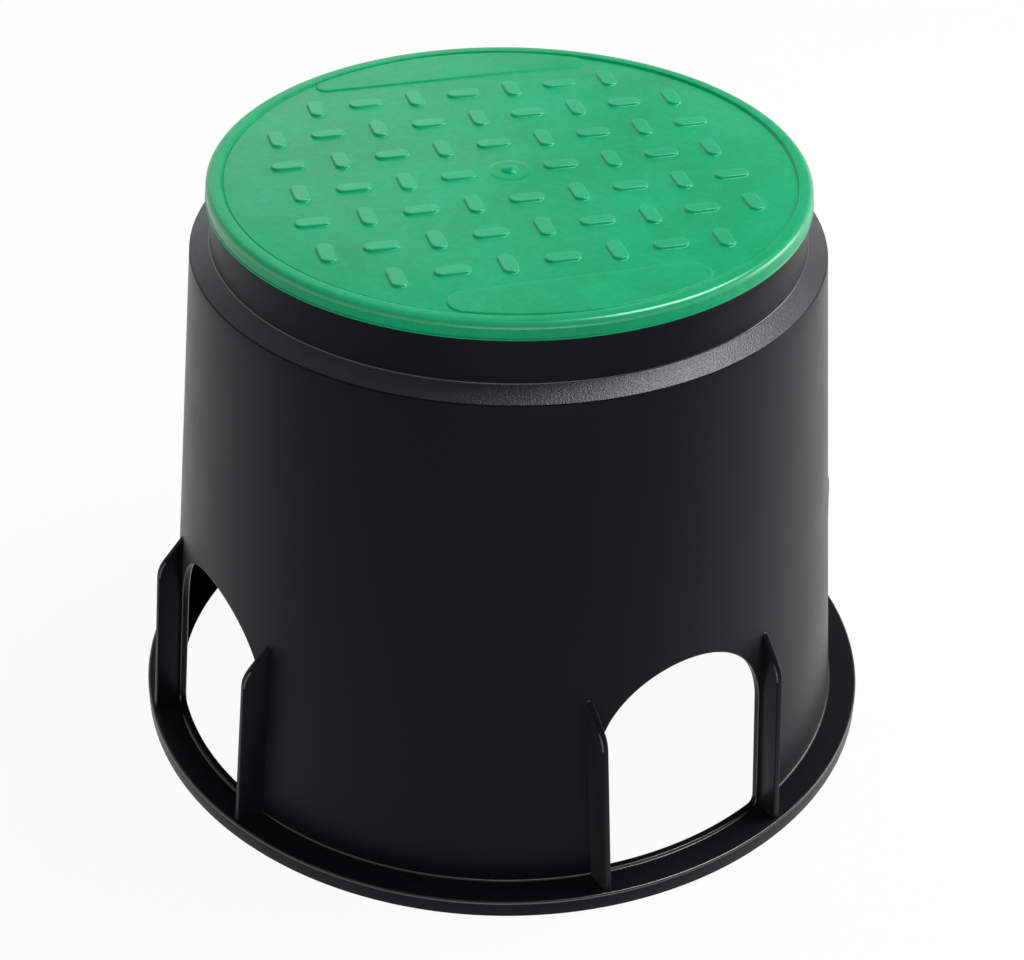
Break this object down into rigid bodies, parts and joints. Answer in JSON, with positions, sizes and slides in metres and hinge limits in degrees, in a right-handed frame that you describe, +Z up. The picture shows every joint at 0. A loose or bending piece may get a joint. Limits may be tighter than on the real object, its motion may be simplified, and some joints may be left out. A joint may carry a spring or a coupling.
{
  "type": "irrigation valve box",
  "caption": "Round tapered underground valve box with a flanged foot, arched pipe openings framed by upright fins, and a twist-lock lid with raised tread bars.",
  "frame": {"origin": "centre of the base, on the ground under the flange", "axes": "+Z up along the box's axis, -Y out through one of the pipe arches (the right-hand arch in the picture), +X out through the next one counter-clockwise from above"},
  "size_m": [0.33, 0.33, 0.2586],
  "materials": {
    "box_body": "satin black moulded polypropylene, finely blasted on the shoulder",
    "lid": "satin green moulded polypropylene"
  },
  "bodies": {
    "box": {"box_body": "box_body"},
    "lid": {"lid": "lid"}
  },
  "joints": [
    {"name": "lid_turn", "type": "hinge", "parent": "box", "child": "lid", "pos_m": [0, 0, 0.2507], "axis": [0, 0, 1], "range_deg": [0, 25]}
  ]
}
